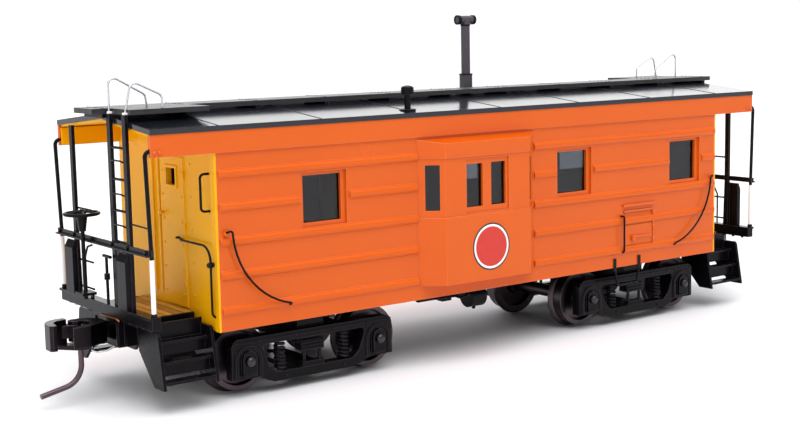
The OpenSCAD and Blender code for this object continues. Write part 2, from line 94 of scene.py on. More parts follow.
def softEdges(tree, radius):  # rounded edge normals, and a mask that is 1 along the edges
    s = edgeSettings
    rounded = addNode(tree, "ShaderNodeBevel", {"Radius": radius * mm}, samples=s["samples"])
    flat = addNode(tree, "ShaderNodeNewGeometry")
    turn = addNode(tree, "ShaderNodeVectorMath", {0: rounded.outputs[0], 1: flat.outputs["Normal"]},
                   operation="DOT_PRODUCT")
    mask = addNode(tree, "ShaderNodeMapRange", {"Value": turn.outputs["Value"], "From Min": s["flat"],
                                                "From Max": s["turned"],
                                                "To Min": 0.0, "To Max": 1.0})
    return rounded.outputs[0], mask.outputs[0]


# sizes in mm
# the edge share here sets a painted highlight: how far edges are painted towards the lighter edge colour
enamelSettings = {"cloud": 14.0, "peel": 0.55, "peelDepth": 0.006, "peelShare": 0.35, "edge": 0.13,
                  "edgeHighlight": 0.5, "rough": (0.22, 0.3), "bare": "#1C191C"}


def sprayedEnamel(name, code, shade, edgeCode, inside=None, shine=0.3):
    # satin enamel sprayed on moulded styrene: faint clouding, fine orange peel, and a painted highlight of a
    # lighter colour along the edges
    s = enamelSettings
    mat, tree, shader = startMaterial(name, {"IOR": 1.46, "Specular IOR Level": shine})
    cloud = addNode(tree, "ShaderNodeTexNoise", {"Vector": inMillimetres(tree, s["cloud"]), "Scale": 1.0,
                                                 "Detail": 3.0})
    normal, edge = softEdges(tree, s["edge"])
    body = addNode(tree, "ShaderNodeMix", {0: cloud.outputs["Fac"], 6: linear(shade), 7: linear(code)},
                   data_type="RGBA")
    # painted highlight: the edge mask mixes in the lighter edge colour
    paintedHighlight = addNode(tree, "ShaderNodeMath", {0: edge, 1: s["edgeHighlight"]}, operation="MULTIPLY")
    colour = addNode(tree, "ShaderNodeMix", {0: paintedHighlight.outputs[0], 6: body.outputs[2], 7: linear(edgeCode)},
                     data_type="RGBA")
    if inside:  # the moulding is bare on its inner face
        place = addNode(tree, "ShaderNodeTexCoord")
        apart = addNode(tree, "ShaderNodeSeparateXYZ", {0: place.outputs["Object"]})
        reach = addNode(tree, "ShaderNodeMath", {0: apart.outputs[inside[0]]}, operation="ABSOLUTE")
        bare = addNode(tree, "ShaderNodeMath", {0: reach.outputs[0], 1: inside[1] * mm},
                       operation="LESS_THAN")
        colour = addNode(tree, "ShaderNodeMix", {0: bare.outputs[0], 6: colour.outputs[2],
                                                 7: linear(s["bare"])}, data_type="RGBA")
    tree.links.new(colour.outputs[2], shader.inputs["Base Color"])
    peel = addNode(tree, "ShaderNodeTexNoise", {"Vector": inMillimetres(tree, s["peel"]), "Scale": 1.0,
                                                "Detail": 2.0})
    bump = addNode(tree, "ShaderNodeBump", {"Height": peel.outputs["Fac"], "Strength": s["peelShare"],
                                            "Distance": s["peelDepth"] * mm, "Normal": normal})
    tree.links.new(bump.outputs[0], shader.inputs["Normal"])
    rough = addNode(tree, "ShaderNodeMapRange", {"Value": cloud.outputs["Fac"], "To Min": s["rough"][0],
                                                 "To Max": s["rough"][1]})
    tree.links.new(rough.outputs[0], shader.inputs["Roughness"])
    return mat


plasticSettings = {"grain": 0.35, "cloud": 6.0, "edge": 0.1, "depth": 0.008, "grainShare": 0.5}


def mouldedPlastic(name, code, shade, edgeCode, rough=(0.38, 0.52), edgeShare=0.5, shine=0.35):
    # through-coloured moulded plastic: fine mould grain, and edges painted a little paler as a painted
    # highlight
    s = plasticSettings
    mat, tree, shader = startMaterial(name, {"IOR": 1.46, "Specular IOR Level": shine})
    cloud = addNode(tree, "ShaderNodeTexNoise", {"Vector": inMillimetres(tree, s["cloud"]), "Scale": 1.0,
                                                 "Detail": 4.0})
    normal, edge = softEdges(tree, s["edge"])
    body = addNode(tree, "ShaderNodeMix", {0: cloud.outputs["Fac"], 6: linear(shade), 7: linear(code)},
                   data_type="RGBA")
    # painted highlight: the edge mask mixes in the paler edge colour
    paintedHighlight = addNode(tree, "ShaderNodeMath", {0: edge, 1: edgeShare}, operation="MULTIPLY")
    colour = addNode(tree, "ShaderNodeMix", {0: paintedHighlight.outputs[0], 6: body.outputs[2], 7: linear(edgeCode)},
                     data_type="RGBA")
    tree.links.new(colour.outputs[2], shader.inputs["Base Color"])
    grain = addNode(tree, "ShaderNodeTexNoise", {"Vector": inMillimetres(tree, s["grain"]), "Scale": 1.0,
                                                 "Detail": 3.0})
    bump = addNode(tree, "ShaderNodeBump", {"Height": grain.outputs["Fac"], "Strength": s["grainShare"],
                                            "Distance": s["depth"] * mm, "Normal": normal})
    tree.links.new(bump.outputs[0], shader.inputs["Normal"])
    spread = addNode(tree, "ShaderNodeMapRange", {"Value": cloud.outputs["Fac"], "To Min": rough[0],
                                                  "To Max": rough[1]})
    tree.links.new(spread.outputs[0], shader.inputs["Roughness"])
    return mat


# the edge share of the boards sets a painted highlight along their edges
boardSettings = {"grain": 0.22, "stretch": 14.0, "contrast": (0.32, 0.68), "depth": 0.02, "grainShare": 0.6,
                 "edge": 0.08, "boardHighlight": 0.3, "tone": 0.55, "joint": 0.1, "jointColour": "#1E120A"}


def grainedBoard(name, code, shade, dark, along, pitch=None, rough=0.5):
    # boards with moulded wood grain running along one axis, drawn coarser than real so that it shows
    s = boardSettings
    stretch = [1, 1, 1]
    stretch[along] = s["stretch"]
    mat, tree, shader = startMaterial(name, {"IOR": 1.5, "Roughness": rough})
    normal, edge = softEdges(tree, s["edge"])
    fibre = addNode(tree, "ShaderNodeTexNoise", {"Vector": inMillimetres(tree, s["grain"], stretch),
                                                 "Scale": 1.0, "Detail": 5.0, "Roughness": 0.65})
    ramp = addNode(tree, "ShaderNodeMapRange", {"Value": fibre.outputs["Fac"], "From Min": s["contrast"][0],
                                                "From Max": s["contrast"][1]})
    colour = addNode(tree, "ShaderNodeMix", {0: ramp.outputs[0], 6: linear(dark), 7: linear(code)},
                     data_type="RGBA")
    if pitch:  # each board its own tone, with a dark joint between boards
        place = addNode(tree, "ShaderNodeTexCoord")
        apart = addNode(tree, "ShaderNodeSeparateXYZ", {0: place.outputs["Object"]})
        count = addNode(tree, "ShaderNodeMath", {0: apart.outputs[pitch[0]], 1: 1000 / pitch[1]},
                        operation="MULTIPLY")
        board = addNode(tree, "ShaderNodeMath", {0: count.outputs[0]}, operation="FLOOR")
        tone = addNode(tree, "ShaderNodeTexWhiteNoise", {"W": board.outputs[0]}, noise_dimensions="1D")
        share = addNode(tree, "ShaderNodeMath", {0: tone.outputs["Value"], 1: s["tone"]},
                        operation="MULTIPLY")
        colour = addNode(tree, "ShaderNodeMix", {0: share.outputs[0], 6: colour.outputs[2],
                                                 7: linear(shade)}, data_type="RGBA")
        across = addNode(tree, "ShaderNodeMath", {0: count.outputs[0]}, operation="FRACT")
        joint = addNode(tree, "ShaderNodeMath", {0: across.outputs[0], 1: s["joint"]}, operation="LESS_THAN")
        colour = addNode(tree, "ShaderNodeMix", {0: joint.outputs[0], 6: colour.outputs[2],
                                                 7: linear(s["jointColour"])}, data_type="RGBA")
    # painted highlight: board edges mixed towards the paler shade colour
    pale = addNode(tree, "ShaderNodeMath", {0: edge, 1: s["boardHighlight"]}, operation="MULTIPLY")
    colour = addNode(tree, "ShaderNodeMix", {0: pale.outputs[0], 6: colour.outputs[2], 7: linear(shade)},
                     data_type="RGBA")
    tree.links.new(colour.outputs[2], shader.inputs["Base Color"])
    bump = addNode(tree, "ShaderNodeBump", {"Height": fibre.outputs["Fac"], "Strength": s["grainShare"],
                                            "Distance": s["depth"] * mm, "Normal": normal})
    tree.links.new(bump.outputs[0], shader.inputs["Normal"])
    return mat


metalSettings = {"cloud": 2.5, "grit": 0.3, "edge": 0.08, "depth": 0.01, "gritShare": 0.5}


def castMetal(name, code, shade, edgeCode, rough=(0.35, 0.5), edgeShare=0.5):
    # chemically darkened metal: uneven tone, and edges painted brighter as a painted highlight
    s = metalSettings
    mat, tree, shader = startMaterial(name, {"Metallic": 1.0})
    cloud = addNode(tree, "ShaderNodeTexNoise", {"Vector": inMillimetres(tree, s["cloud"]), "Scale": 1.0,
                                                 "Detail": 5.0})
    normal, edge = softEdges(tree, s["edge"])
    body = addNode(tree, "ShaderNodeMix", {0: cloud.outputs["Fac"], 6: linear(shade), 7: linear(code)},
                   data_type="RGBA")
    # painted highlight: the edge mask mixes in the brighter edge colour
    paintedHighlight = addNode(tree, "ShaderNodeMath", {0: edge, 1: edgeShare}, operation="MULTIPLY")
    colour = addNode(tree, "ShaderNodeMix", {0: paintedHighlight.outputs[0], 6: body.outputs[2], 7: linear(edgeCode)},
                     data_type="RGBA")
    tree.links.new(colour.outputs[2], shader.inputs["Base Color"])
    grit = addNode(tree, "ShaderNodeTexNoise", {"Vector": inMillimetres(tree, s["grit"]), "Scale": 1.0,
                                                "Detail": 3.0})
    bump = addNode(tree, "ShaderNodeBump", {"Height": grit.outputs["Fac"], "Strength": s["gritShare"],
                                            "Distance": s["depth"] * mm, "Normal": normal})
    tree.links.new(bump.outputs[0], shader.inputs["Normal"])
    spread = addNode(tree, "ShaderNodeMapRange", {"Value": cloud.outputs["Fac"], "To Min": rough[0],
                                                  "To Max": rough[1]})
    tree.links.new(spread.outputs[0], shader.inputs["Roughness"])
    return mat


paneSettings = {"tint": "#8C9096", "ripple": 5.0, "depth": 0.04, "rippleShare": 0.3}


def clearStyrene(name):
    # thin clear moulded glazing: smoke-tinted, with a slight ripple
    s = paneSettings
    mat, tree, shader = startMaterial(name, {"IOR": 1.36, "Transmission Weight": 1.0, "Roughness": 0.03,
                                             "Base Color": linear(s["tint"])})
    ripple = addNode(tree, "ShaderNodeTexNoise", {"Vector": inMillimetres(tree, s["ripple"]), "Scale": 1.0,
                                                  "Detail": 1.0})
    bump = addNode(tree, "ShaderNodeBump", {"Height": ripple.outputs["Fac"], "Strength": s["rippleShare"],
                                            "Distance": s["depth"] * mm})
    tree.links.new(bump.outputs[0], shader.inputs["Normal"])
    return mat


emblemSettings = {"x": -4.4, "z": 17.9, "bay": 3.0, "red": 3.2, "white": 3.55, "black": 3.8, "thick": 0.04,
                  "ink": 0.8, "depth": 0.004, "inkShare": 0.2}
emblemColours = {"red": "#BE2414", "brightRed": "#CC2E1C", "white": "#F4F0EE", "black": "#231C20"}


def printedEmblem(name):
    # pad-printed disc: red field, white ring, thin black outline
    s, inks = emblemSettings, emblemColours
    mat, tree, shader = startMaterial(name, {"IOR": 1.5, "Roughness": 0.36})
    place = addNode(tree, "ShaderNodeTexCoord")
    centre = (-s["x"] * mm, 0, -(s["z"] + railZ) * mm)
    shifted = addNode(tree, "ShaderNodeMapping", {"Vector": place.outputs["Object"], "Location": centre})
    flat = addNode(tree, "ShaderNodeVectorMath", {0: shifted.outputs[0], 1: (1, 0, 1)}, operation="MULTIPLY")
    far = addNode(tree, "ShaderNodeVectorMath", {0: flat.outputs[0]}, operation="LENGTH")
    outside = addNode(tree, "ShaderNodeMath", {0: far.outputs["Value"], 1: s["red"] * mm},
                      operation="GREATER_THAN")
    rim = addNode(tree, "ShaderNodeMath", {0: far.outputs["Value"], 1: s["white"] * mm},
                  operation="GREATER_THAN")
    ink = addNode(tree, "ShaderNodeTexNoise", {"Vector": inMillimetres(tree, s["ink"]), "Scale": 1.0,
                                               "Detail": 3.0})
    red = addNode(tree, "ShaderNodeMix", {0: ink.outputs["Fac"], 6: linear(inks["red"]),
                                          7: linear(inks["brightRed"])}, data_type="RGBA")
    ring = addNode(tree, "ShaderNodeMix", {0: outside.outputs[0], 6: red.outputs[2],
                                           7: linear(inks["white"])}, data_type="RGBA")
    outline = addNode(tree, "ShaderNodeMix", {0: rim.outputs[0], 6: ring.outputs[2],
                                              7: linear(inks["black"])}, data_type="RGBA")
    tree.links.new(outline.outputs[2], shader.inputs["Base Color"])
    bump = addNode(tree, "ShaderNodeBump", {"Height": ink.outputs["Fac"], "Strength": s["inkShare"],
                                            "Distance": s["depth"] * mm})
    tree.links.new(bump.outputs[0], shader.inputs["Normal"])
    return mat


# the last colour of each enamel, plastic and metal finish below is its edge colour, a painted highlight
orangeEnamel = sprayedEnamel("orange enamel on styrene", "#D65C0E", "#CE560C", "#FF9C68")
orangeShell = sprayedEnamel("orange enamel, bare inside", "#D65C0E", "#CE560C", "#FF9C68",
                            inside=("Y", 14.3))
yellowEnamel = sprayedEnamel("yellow enamel on styrene", "#F8B206", "#EEA802", "#FFD850", shine=0.12)
yellowWall = sprayedEnamel("yellow enamel, bare inside", "#F8B206", "#EEA802", "#FFD850", inside=("X", 51.3),
                           shine=0.12)
roofEnamel = mouldedPlastic("gloss slate roof enamel", "#191C24", "#15171E", "#3A3E48", rough=(0.1, 0.17),
                            edgeShare=0.2, shine=0.5)
blackAcetal = mouldedPlastic("black engineering plastic", "#0E0C0F", "#0A080B", "#5E5862",
                             rough=(0.22, 0.32), shine=0.12)
truckAcetal = mouldedPlastic("black truck moulding", "#0B090C", "#080609", "#6A6570",
                             rough=(0.2, 0.3), shine=0.14)
stackAcetal = mouldedPlastic("grey-black stack moulding", "#4C464D", "#423D43", "#8A848C",
                             rough=(0.28, 0.4), shine=0.4)
# the bosses' paler base colours are a painted highlight; their higher gloss and lower roughness are real
highlightedBossAcetal = mouldedPlastic("journal bosses with painted highlight", "#2A272E", "#221F26", "#7A7682",
                            rough=(0.18, 0.26), shine=0.5)
whiteStyrene = mouldedPlastic("white grip paint", "#F2EFEF", "#E6E2E2", "#FFFFFF", rough=(0.3, 0.4))
walkBoards = grainedBoard("running boards, grained black plastic", "#2C292E", "#4A464C", "#151316", 0,
                          rough=0.4)
deckBoards = grainedBoard("platform deck boards", "#B8821E", "#DCA232", "#6A4412", 1, pitch=("X", 1.5),
                          rough=0.6)
clearPane = clearStyrene("clear styrene glazing")
ballast = castMetal("rolled steel weight", "#9A9CA0", "#85878B", "#C0C2C6", rough=(0.4, 0.55))
springWire = castMetal("bright spring wire", "#E4E4E6", "#D2D3D6", "#F6F6F8", rough=(0.3, 0.42),
                       edgeShare=0.2)
couplerCast = castMetal("blackened coupler casting", "#322C2F", "#221E22", "#8E8486", rough=(0.3, 0.42))
bluedWire = castMetal("blued trip wire", "#6A5A5E", "#57484E", "#A89A9C", rough=(0.34, 0.46))
wheelSteel = castMetal("blackened wheel metal", "#5A5054", "#40383C", "#A0949A", rough=(0.26, 0.4))
copperStrip = castMetal("copper strip", "#B5713A", "#9A5C2C", "#D99A66", rough=(0.3, 0.42))
printedRed = printedEmblem("printed emblem ink")
print("finishes made")

# the CAD parts' finishes
finishes = {
    "side_walls": orangeShell, "window_frames": orangeEnamel, "bay_windows": orangeEnamel,
    "bay_frames": orangeEnamel, "eave_fascias": orangeEnamel, "equipment_doors": orangeEnamel,
    "side_glass": clearPane, "bay_glass": clearPane, "door_glass": clearPane, "end_walls": yellowWall,
    "porch_ceilings": yellowEnamel, "roof": roofEnamel, "weight_block": ballast, "truck_screws": ballast,
    "platform_decks": deckBoards, "post_grips": whiteStyrene, "running_board": walkBoards,
    "roof_platforms": walkBoards, "roof_grabs": springWire, "smoke_stack": stackAcetal,
    "coupler_front": couplerCast, "coupler_rear": couplerCast, "knuckle_front": couplerCast,
    "knuckle_rear": couplerCast, "trip_pin_front": bluedWire, "trip_pin_rear": bluedWire,
    "truck_frame_front": truckAcetal, "truck_frame_rear": truckAcetal, "truck_springs_front": truckAcetal,
    "truck_springs_rear": truckAcetal, "wheelset_1": wheelSteel, "wheelset_2": wheelSteel,
    "wheelset_3": wheelSteel, "wheelset_4": wheelSteel,
}
for name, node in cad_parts.items():
    node.data.materials.clear()
    node.data.materials.append(finishes.get(name, blackAcetal))


# shapes in mesh code: each part is (points in mm, faces)
def slab(lo, hi, edge):  # a block between two corners, with its edges rounded
    mesh = bmesh.new()
    bmesh.ops.create_cube(mesh, size=1.0)
    for v in mesh.verts:
        v.co = Vector([(lo[i] + hi[i]) / 2 + v.co[i] * (hi[i] - lo[i]) for i in range(3)])
    bmesh.ops.bevel(mesh, geom=mesh.edges[:], offset=edge, segments=2, profile=0.6, affect="EDGES")
    part = ([v.co.copy() for v in mesh.verts], [[v.index for v in f.verts] for f in mesh.faces])
    mesh.free()
    return part


def plate(outline, lo, hi):  # an outline in y and z, anticlockwise from +X, given thickness along x
    n = len(outline)
    points = [Vector((x, y, z)) for x in (lo, hi) for y, z in outline]
    faces = [list(range(n))[::-1], list(range(n, 2 * n))]
    faces += [[k, (k + 1) % n, (k + 1) % n + n, k + n] for k in range(n)]
    return points, faces


up = (0, 0, 1)


def lathe(profile, at, way, steps=24):  # profile of (radius, distance along the unit vector way)
    way = Vector(way)
    side = way.orthogonal().normalized()
    other = way.cross(side)
    points, faces = [], []
    for r, d in profile:
        for k in range(steps):
            a = 2 * math.pi * k / steps
            points.append(Vector(at) + way * d + (side * math.cos(a) + other * math.sin(a)) * r)
    for j in range(len(profile) - 1):
        for k in range(steps):
            a, b = j * steps + k, j * steps + (k + 1) % steps
            faces.append([a, b, b + steps, a + steps])
    last = (len(profile) - 1) * steps
    faces.append(list(range(steps))[::-1])
    faces.append(list(range(last, last + steps)))
    return points, faces


def bothSides(parts):  # and the same mirrored in Y
    return parts + [([Vector((p.x, -p.y, p.z)) for p in pts], [f[::-1] for f in faces])
                    for pts, faces in parts]


def halfTurn(parts):  # and the same turned end for end
    return parts + [([Vector((-p.x, -p.y, p.z)) for p in pts], faces) for pts, faces in parts]


def finish(obj, body, replaced=()):
    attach(obj, body)
    if replaced:
        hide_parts(*replaced)
    return obj


def makePiece(name, parts, material, body, replaced=(), smooth=35):
    points, faces = [], []
    for pts, fcs in parts:
        start = len(points)
        points += [spot(p) for p in pts]
        faces += [[i + start for i in f] for f in fcs]
    mesh = bpy.data.meshes.new(name)
    mesh.from_pydata(points, [], faces)
    mesh.materials.append(material)
    mesh.shade_smooth()
    mesh.set_sharp_from_angle(angle=math.radians(smooth))
    mesh.validate()
    obj = bpy.data.objects.new(name, mesh)
    bpy.context.scene.collection.objects.link(obj)
    return finish(obj, body, replaced)


# Geometry Nodes for wires, bolt heads, springs and rows
def startTree(name, inputs):
    tree = bpy.data.node_groups.new(name, "GeometryNodeTree")
    tree.interface.new_socket("Geometry", in_out="INPUT", socket_type="NodeSocketGeometry")
    for label, kind, value in inputs:
        socket = tree.interface.new_socket(label, in_out="INPUT", socket_type=kind)
        if value is not None:
            socket.default_value = value
    tree.interface.new_socket("Geometry", in_out="OUTPUT", socket_type="NodeSocketGeometry")
    return tree, addNode(tree, "NodeGroupInput").outputs, addNode(tree, "NodeGroupOutput")


def endTree(tree, result, material, end):
    whole = addNode(tree, "GeometryNodeRealizeInstances", {"Geometry": result})
    coated = addNode(tree, "GeometryNodeSetMaterial", {"Geometry": whole.outputs[0], "Material": material})
    tree.links.new(coated.outputs[0], end.inputs["Geometry"])
    return tree


def wireTree():  # a round wire along each run of edges, with bent corners
    tree, given, end = startTree("bent wire", [
        ("Radius", "NodeSocketFloat", 0.0002), ("Bend", "NodeSocketFloat", 0.0005),
        ("Sides", "NodeSocketInt", 12), ("Material", "NodeSocketMaterial", None)])
    path = addNode(tree, "GeometryNodeMeshToCurve", {"Mesh": given["Geometry"]})
    bent = addNode(tree, "GeometryNodeFilletCurve",
                   {"Curve": path.outputs[0], "Radius": given["Bend"], "Count": 6, "Limit Radius": True},
                   mode="POLY")
    ring = addNode(tree, "GeometryNodeCurvePrimitiveCircle",
                   {"Resolution": given["Sides"], "Radius": given["Radius"]})
    tube = addNode(tree, "GeometryNodeCurveToMesh",
                   {"Curve": bent.outputs[0], "Profile Curve": ring.outputs["Curve"], "Fill Caps": True})
    return endTree(tree, tube.outputs[0], given["Material"], end)


def headTree():  # a bolt head or rivet at every point, standing along its facing
    tree, given, end = startTree("bolt heads", [
        ("Radius", "NodeSocketFloat", 0.0002), ("Top", "NodeSocketFloat", 0.00015),
        ("Height", "NodeSocketFloat", 0.00015), ("Sides", "NodeSocketInt", 6),
        ("Material", "NodeSocketMaterial", None)])
    head = addNode(tree, "GeometryNodeMeshCone", {"Vertices": given["Sides"], "Radius Top": given["Top"],
                                                  "Radius Bottom": given["Radius"],
                                                  "Depth": given["Height"]})
    facing = addNode(tree, "GeometryNodeInputNamedAttribute", {"Name": "facing"}, data_type="FLOAT_VECTOR")
    stand = addNode(tree, "FunctionNodeAlignRotationToVector", {"Vector": facing.outputs["Attribute"]},
                    axis="Z")
    row = addNode(tree, "GeometryNodeInstanceOnPoints", {"Points": given["Geometry"],
                                                         "Instance": head.outputs["Mesh"],
                                                         "Rotation": stand.outputs[0]})
    return endTree(tree, row.outputs[0], given["Material"], end)


def springTree():  # a coil spring standing on every point
    tree, given, end = startTree("coil springs", [
        ("Coil radius", "NodeSocketFloat", 0.001), ("Wire", "NodeSocketFloat", 0.0002),
        ("Height", "NodeSocketFloat", 0.004), ("Turns", "NodeSocketFloat", 6.0),
        ("Material", "NodeSocketMaterial", None)])
    coil = addNode(tree, "GeometryNodeCurveSpiral", {"Resolution": 20, "Rotations": given["Turns"],
                                                     "Start Radius": given["Coil radius"],
                                                     "End Radius": given["Coil radius"],
                                                     "Height": given["Height"]})
    ring = addNode(tree, "GeometryNodeCurvePrimitiveCircle", {"Resolution": 8, "Radius": given["Wire"]})
    tube = addNode(tree, "GeometryNodeCurveToMesh",
                   {"Curve": coil.outputs[0], "Profile Curve": ring.outputs["Curve"], "Fill Caps": True})
    stood = addNode(tree, "GeometryNodeInstanceOnPoints",
                    {"Points": given["Geometry"], "Instance": tube.outputs[0]})
    return endTree(tree, stood.outputs[0], given["Material"], end)


def rowTree():  # the given shape repeated at even steps
    tree, given, end = startTree("even row", [("Count", "NodeSocketInt", 5),
                                              ("Start", "NodeSocketVector", (0, 0, 0)),
                                              ("Step", "NodeSocketVector", (0.01, 0, 0)),
                                              ("Material", "NodeSocketMaterial", None)])
    line = addNode(tree, "GeometryNodeMeshLine", {"Count": given["Count"], "Start Location": given["Start"],
                                                  "Offset": given["Step"]})
    row = addNode(tree, "GeometryNodeInstanceOnPoints",
                  {"Points": line.outputs[0], "Instance": given["Geometry"]})
    return endTree(tree, row.outputs[0], given["Material"], end)


wires, heads, springs, rows = wireTree(), headTree(), springTree(), rowTree()


def grow(name, mesh, tree, values, body, replaced=(), smooth=40):
    # run a tree on a base mesh and keep the result as a plain mesh
    base = bpy.data.objects.new(name + " base", mesh)
    bpy.context.scene.collection.objects.link(base)
    made = base.modifiers.new("made", "NODES")
    made.node_group = tree
    for item in tree.interface.items_tree:
        if item.in_out == "INPUT" and item.name in values:
            made[item.identifier] = values[item.name]
    depsgraph = bpy.context.evaluated_depsgraph_get()
    result = bpy.data.meshes.new_from_object(base.evaluated_get(depsgraph), preserve_all_data_layers=True,
                                             depsgraph=depsgraph)
    bpy.data.objects.remove(base)
    result.name = name
    if smooth:
        result.shade_smooth()
        result.set_sharp_from_angle(angle=math.radians(smooth))
    obj = bpy.data.objects.new(name, result)
    bpy.context.scene.collection.objects.link(obj)
    return finish(obj, body, replaced)


def makeWires(name, paths, radius, bend, material, body, replaced=(), sides=12):
    points, edges = [], []
    for path in paths:
        start = len(points)
        points += [spot(p) for p in path]
        edges += [(i, i + 1) for i in range(start, len(points) - 1)]
    mesh = bpy.data.meshes.new(name + " path")
    mesh.from_pydata(points, edges, [])
    values = {"Radius": radius * mm, "Bend": bend * mm, "Sides": sides, "Material": material}
    return grow(name, mesh, wires, values, body, replaced)


def makeHeads(name, places, radius, height, sides, material, body, slot, top=0.75):
    # places: (point in mm, direction it faces)
    mesh = bpy.data.meshes.new(name + " places")
    mesh.from_pydata([spot(p) for p, way in places], [], [])
    facing = mesh.attributes.new("facing", "FLOAT_VECTOR", "POINT")
    for item, (p, way) in zip(facing.data, places):
        item.vector = way
    values = {"Radius": radius * mm, "Top": radius * top * mm, "Height": height * mm, "Sides": sides,
              "Material": material}
    return grow(name, mesh, heads, values, body)


def flipPaths(paths):  # wire paths, and the same mirrored in Y
    return paths + [[(x, -y, z) for x, y, z in path] for path in paths]


def endPaths(paths):  # and the same mirrored in X
    return paths + [[(-x, y, z) for x, y, z in path] for path in paths]


def turnPaths(paths):  # and the same turned end for end
    return paths + [[(-x, -y, z) for x, y, z in path] for path in paths]


def turnPlaces(places):  # bolt places with their facings, and the same turned end for end
    return places + [((-x, -y, z), (-a, -b, c)) for (x, y, z), (a, b, c) in places]


def middleOf(node):  # the middle of a CAD part in x and y, mm
    low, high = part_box(node)
    return (low.x + high.x) / 2 / mm, (low.y + high.y) / 2 / mm


# the body's own measures in mm, from the CAD parts
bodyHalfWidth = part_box("end_walls")[1].y / mm
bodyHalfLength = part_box("side_walls")[1].x / mm
truckX = middleOf("truck_frame_rear")[0]
sideRoot = 0.18 - bodyHalfWidth  # wires for the sides start inside the wall here
endRoot = 0.12 - bodyHalfLength  # and wires for the ends here

# roof
roofShape = {"eave": 39.7, "rise": 1.6, "half": 15.6}


def roofTop(y):
    s = roofShape
    return s["eave"] + (s["half"] - abs(y)) * s["rise"] / s["half"]


seamSettings = {"first": -51.45, "step": 17.15, "count": 7, "half": 15.62, "width": 0.16, "height": 0.05,
                "sink": 0.1}


def roofSeams():
    s = seamSettings
    ys = [-s["half"], 0.0, s["half"]]
    outline = [(y, roofTop(y) - s["sink"]) for y in ys] + [(y, roofTop(y) + s["height"]) for y in ys[::-1]]
    points, faces = plate(outline, -s["width"] / 2, s["width"] / 2)
    mesh = bpy.data.meshes.new("seam")
    mesh.from_pydata([spot(p) for p in points], [], faces)
    values = {"Count": s["count"], "Start": (s["first"] * mm, 0, 0), "Step": (s["step"] * mm, 0, 0),
              "Material": blackAcetal}
    grow("roof_seams", mesh, rows, values, "car", smooth=0)


roofGrabSettings = {
    "wire": 0.15, "bend": 0.9, "footX": (-62.5, -61.5), "footZ": (41.4, 41.75), "footHalf": 0.28,
    "edge": 0.1,
    "paths": [[(-62.24, -3.85, 41.4), (-62.2, -3.85, 46.95), (-56.62, -3.85, 43.9), (-56.35, -3.85, 42.0)],
              [(-62.2, -8.8, 41.4), (-61.1, -8.8, 46.1), (-56.45, -8.8, 43.95), (-56.45, -8.8, 42.1)]],
}


def roofGrabs():
    s = roofGrabSettings
    makeWires("roof_grab_wires", turnPaths(s["paths"]), s["wire"], s["bend"], springWire, "car",
              ["roof_grabs"])
    feet = []
    for path in s["paths"]:
        y = path[0][1]
        feet.append(slab((s["footX"][0], y - s["footHalf"], s["footZ"][0]),
                         (s["footX"][1], y + s["footHalf"], s["footZ"][1]), s["edge"]))
    makePiece("grab_feet", halfTurn(feet), whiteStyrene, "car")


boardBoltSettings = {"first": -62.6, "step": 12.52, "count": 11, "boards": (-2.06, 0, 2.06), "apart": 0.45,
                     "top": 42.15, "radius": 0.17, "height": 0.08}


def boardBolts():
    s = boardBoltSettings
    places = [((s["first"] + s["step"] * k, y + dy, s["top"]), (0, 0, 1)) for k in range(s["count"])
              for y in s["boards"] for dy in (-s["apart"], s["apart"])]
    makeHeads("board_bolts", places, s["radius"], s["height"], 10, blackAcetal, "car", "black_plastic", 0.6)


roofSeams()
roofGrabs()
boardBolts()

# handrails and grab irons; "out" is how far they stand off the wall
sideRailSettings = {
    "wire": 0.16, "bend": 0.5, "out": 0.88, "arc": 12.0, "centre": (-38.0, 25.0),
    # x, how far off the wall, z
    "start": [(-50.9, -0.18, 24.4), (-50.75, 0.78, 24.65), (-50.05, 0.88, 24.9)],
    "stop": [(-40.75, 0.78, 13.1), (-40.5, -0.18, 12.95)],
}


def sideRails():
    s = sideRailSettings
    middle = []
    for degrees in range(6, 79, 6):
        a = math.radians(degrees)
        middle.append((s["centre"][0] - s["arc"] * math.cos(a), s["out"],
                       s["centre"][1] - s["arc"] * math.sin(a)))
    path = [(x, -bodyHalfWidth - out, z) for x, out, z in s["start"] + middle + s["stop"]]
    makeWires("side_rail_wires", endPaths(flipPaths([path])), s["wire"], s["bend"], blackAcetal, "car",
              ["side_handrails"])


endRailSettings = {"wire": 0.17, "bend": 2.2, "out": 0.8, "inner": -4.5, "outer": -14.1, "top": 22.6,
                   "foot": 12.6, "stay": 20.0, "stayX": -52.0, "clamp": 0.42, "clampHeight": 0.3}
endGrabSettings = {"wire": 0.18, "bend": 0.6, "out": 1.4, "y": -13.0, "top": 32.8, "foot": 27.5}


def endRails():
    s = endRailSettings
    x = -bodyHalfLength - s["out"]
    rail = [(endRoot, s["inner"], s["top"]), (x, s["inner"], s["top"]), (x, s["outer"], s["top"]),
            (x, s["outer"], s["foot"]), (s["stayX"], s["outer"], s["foot"] - 0.2)]
    stay = [(s["stayX"], s["outer"], s["stay"]), (x - 0.3, s["outer"], s["stay"])]
    makeWires("end_rail_wires", turnPaths([rail, stay]), s["wire"], s["bend"], blackAcetal, "car",
              ["end_handrails"])
    g = endGrabSettings
    out = -bodyHalfLength - g["out"]
    staple = [(endRoot, g["y"], g["top"]), (out, g["y"], g["top"]), (out, g["y"], g["foot"]),
              (endRoot, g["y"], g["foot"])]
    makeWires("end_grab_wires", turnPaths([staple]), g["wire"], g["bend"], blackAcetal, "car")
    clamps = [((x + dx, s["outer"], s["stay"]), (dx, 0, 0)) for dx in (-0.2, 0.2)]
    clamps.append(((x, s["inner"], s["top"] + 0.15), (0, 0, 1)))
    makeHeads("rail_clamps", turnPlaces(clamps), s["clamp"], s["clampHeight"], 10, blackAcetal, "car",
              "black_plastic")


